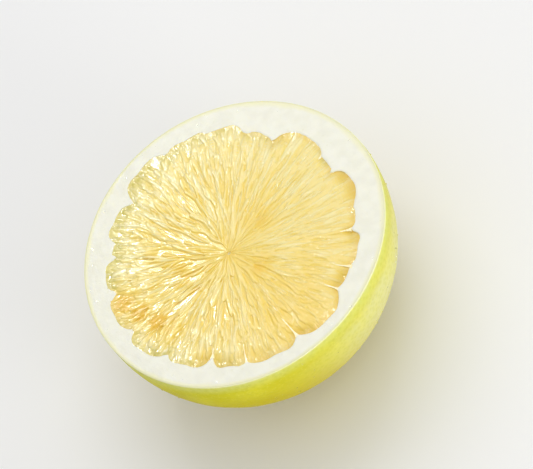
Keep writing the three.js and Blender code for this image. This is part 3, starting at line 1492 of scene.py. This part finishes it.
    @staticmethod
    def girth(share: Points, plump: Points) -> Points:
        """A sac's thickness along its length, from its thin tail to its blunt head.

        Args:
            share: how far along it is, from 0 to 1.
            plump: how round the sac is.

        Returns:
            The thickness over its most.
        """
        fattest = 0.82
        rise = np.sin(held(share / fattest) * math.pi / 2) ** (0.8 + 1.2 * plump)
        fall = np.sqrt(held(1 - (held(share - fattest) / (1 - fattest)) ** 2))
        return np.where(share < fattest, rise, fall)


@dataclass
class Drops:
    """Drops of water on a surface."""

    name: str
    places: Points
    normals: Points
    smallest: float
    largest: float
    seed: int

    def build(self) -> Object:
        """Models one drop, repeats it, and sets each copy on its place.

        Returns:
            All the drops as one piece.
        """
        add = bpy.ops.mesh.primitive_uv_sphere_add
        piece = begin(self.name, add, segments=8, ring_count=6, radius=1)
        count = len(self.places)
        size = repeat(piece, count)
        ball = points_of(piece)[:size]
        rng = np.random.default_rng(self.seed)
        radius = self.smallest + (self.largest - self.smallest) * rng.random(count) ** 3
        flat = ball * np.where(ball[:, 2] > 0, 0.75, 0.15)[:, None] ** np.array([0, 0, 1])
        points = np.empty((count, size, 3))
        for i, (place, normal) in enumerate(zip(self.places, self.normals)):
            turn = Vector((0, 0, 1)).rotation_difference(Vector(normal)).to_matrix()
            uneven = flat * np.array([1, rng.uniform(0.8, 1), 1])
            points[i] = place + radius[i] * uneven @ np.array(turn).T
        move_points(piece, points.reshape(-1, 3))
        smooth(piece)
        return piece


@dataclass(frozen=True)
class Softbox:
    """A lamp that faces the cut face."""

    name: str
    towards: tuple[float, float, float]  # the direction it stands in, from the cut face
    distance: float
    size: float  # its width
    power: float  # in watts
    stretch: float = 1.0  # its height over its width
    glints_only: bool = False

    def build(self, target: Vector) -> None:
        """Sets the lamp up.

        Args:
            target: the point it faces.
        """
        data = bpy.data.lights.new(self.name, "AREA")
        data.shape = "RECTANGLE"
        data.size, data.size_y = self.size, self.size * self.stretch
        data.energy = self.power
        lamp = bpy.data.objects.new(self.name, data)
        bpy.context.scene.collection.objects.link(lamp)
        direction = Vector(self.towards).normalized()
        lamp.location = target + direction * self.distance
        lamp.rotation_mode = "QUATERNION"
        lamp.rotation_quaternion = (-direction).to_track_quat("-Z", "Y")
        lamp.visible_camera = False
        lamp.visible_diffuse = not self.glints_only


@dataclass
class Studio:
    """The floor, the lights and the camera."""

    fruit: Fruit
    elevation: float = 53.2  # degrees that the camera looks down
    roll: float = -38.4
    distance: float = 4.0
    seen_width: float = 0.2458  # the width of the picture at the cut face
    shift: tuple[float, float] = (0.062, 0.0153)
    sensor: float = 36.0
    surround: float = 0.64
    wall: float = 0.86
    lamps: tuple[Softbox, ...] = (
        Softbox("key", (0.30, 0.42, 0.86), 0.9, 0.8, 2.9),
        Softbox("sparkle", (-0.033, 0.35, 0.483), 0.6, 0.05, 0.9, stretch=2.0, glints_only=True),
        Softbox("fill", (0.35, -0.9, 0.14), 1.0, 0.35, 3.6),
    )

    @property
    def target(self) -> Vector:
        """The middle of the cut face."""
        return Vector((0, 0, self.fruit.high.z))

    def turned(self) -> Quaternion:
        """How the camera is turned.

        Returns:
            The turn from looking straight down.
        """
        angle = math.radians(self.elevation)
        back = Vector((0, -math.cos(angle), math.sin(angle)))
        level = (-back).to_track_quat("-Z", "Y")
        return level @ Quaternion((0, 0, 1), math.radians(self.roll))

    def build(self) -> None:
        """Makes all of it."""
        self.floor()
        self.camera()
        self.world()
        for lamp in self.lamps:
            lamp.build(self.target)

    def floor(self) -> None:
        """A plain pale floor."""
        plane = begin("floor", bpy.ops.mesh.primitive_plane_add, size=6)
        paper = Dress("floor").finish({"Base Color": (0.93, 0.93, 0.93), "Roughness": 0.7})
        plane.data.materials.append(paper)

    def camera(self) -> None:
        """A camera that looks down on the cut face."""
        data = bpy.data.cameras.new("camera")
        data.sensor_width = self.sensor
        data.lens = self.sensor * self.distance / self.seen_width
        data.shift_x, data.shift_y = self.shift
        camera = bpy.data.objects.new("camera", data)
        bpy.context.scene.collection.objects.link(camera)
        camera.rotation_mode = "QUATERNION"
        camera.rotation_quaternion = self.turned()
        camera.location = self.target + self.turned() @ Vector((0, 0, self.distance))
        bpy.context.scene.camera = camera

    def world(self) -> None:
        """Soft light from all round, in front of a paler wall."""
        world = bpy.data.worlds.new("studio")
        world.use_nodes = True
        sheet = Sheet(world.node_tree)
        sky = world.node_tree.nodes["Background"]
        sky.inputs["Color"].default_value = (1.0, 1.0, 1.0, 1)
        seen = sheet.add("LightPath").outputs["Is Camera Ray"]
        sheet.feed(sky.inputs["Strength"], sheet.ramp(seen, 0, 1, self.surround, self.wall))
        bpy.context.scene.world = world
        bpy.context.scene.view_settings.view_transform = "Standard"


def rind_drops(fruit: Fruit) -> Drops:
    """Fine drops over the side of the half.

    Args:
        fruit: the half's shape.

    Returns:
        The drops, not yet modelled.
    """
    rng = np.random.default_rng(5)
    count = 300
    z = -rng.uniform(0.02, 0.8, count)
    turn = rng.uniform(0, 2 * math.pi, count)
    level = np.sqrt(1 - z**2)
    directions = np.stack([level * np.cos(turn), level * np.sin(turn), z], 1)
    places = fruit.outside(directions)
    return Drops("rind_drops", places, directions, smallest=0.2 * MM, largest=0.9 * MM, seed=6)


def cut_drops(fruit: Fruit) -> Drops:
    """A few fine drops on the pith.

    Args:
        fruit: the half's shape.

    Returns:
        The drops, not yet modelled.
    """
    rng = np.random.default_rng(8)
    count = 26
    angle = rng.uniform(0, 2 * math.pi, count)
    distance = fruit.core_to_edge(angle) * rng.uniform(0.93, 0.985, count)
    places = fruit.from_core(angle, distance, np.zeros(count))
    normals = np.tile(np.array([0.0, 0.0, 1.0]), (count, 1))
    return Drops("cut_drops", places, normals, smallest=0.2 * MM, largest=0.7 * MM, seed=9)


def main() -> None:
    """Builds the half piece by piece, then the studio."""
    logging.basicConfig(level=logging.INFO, format="%(message)s")
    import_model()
    fruit = Fruit(*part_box(NODE))
    effects = Effects()

    rind = Rind(fruit)
    finish_piece(rind.build(), RindFinish(effects, fruit.high.z).material())
    finish_piece(rind.scar(), ScarFinish(effects).material())
    finish_piece(Pith(fruit, rind).build(), PithFinish(effects).material())

    skins = Skins(fruit)
    skin = SkinFinish(effects).material()
    finish_piece(skins.build(), skin)
    finish_piece(skins.core(), skin)

    flesh = SacFinish(effects, fruit.high.z, fruit.core).material()
    for number, segment in enumerate(fruit.segments, 1):
        finish_piece(Sacs(fruit, segment, number).build(), flesh)

    water = WaterFinish().material()
    finish_piece(rind_drops(fruit).build(), water)
    finish_piece(cut_drops(fruit).build(), water)

    Studio(fruit).build()


if __name__ == "__main__":
    main()
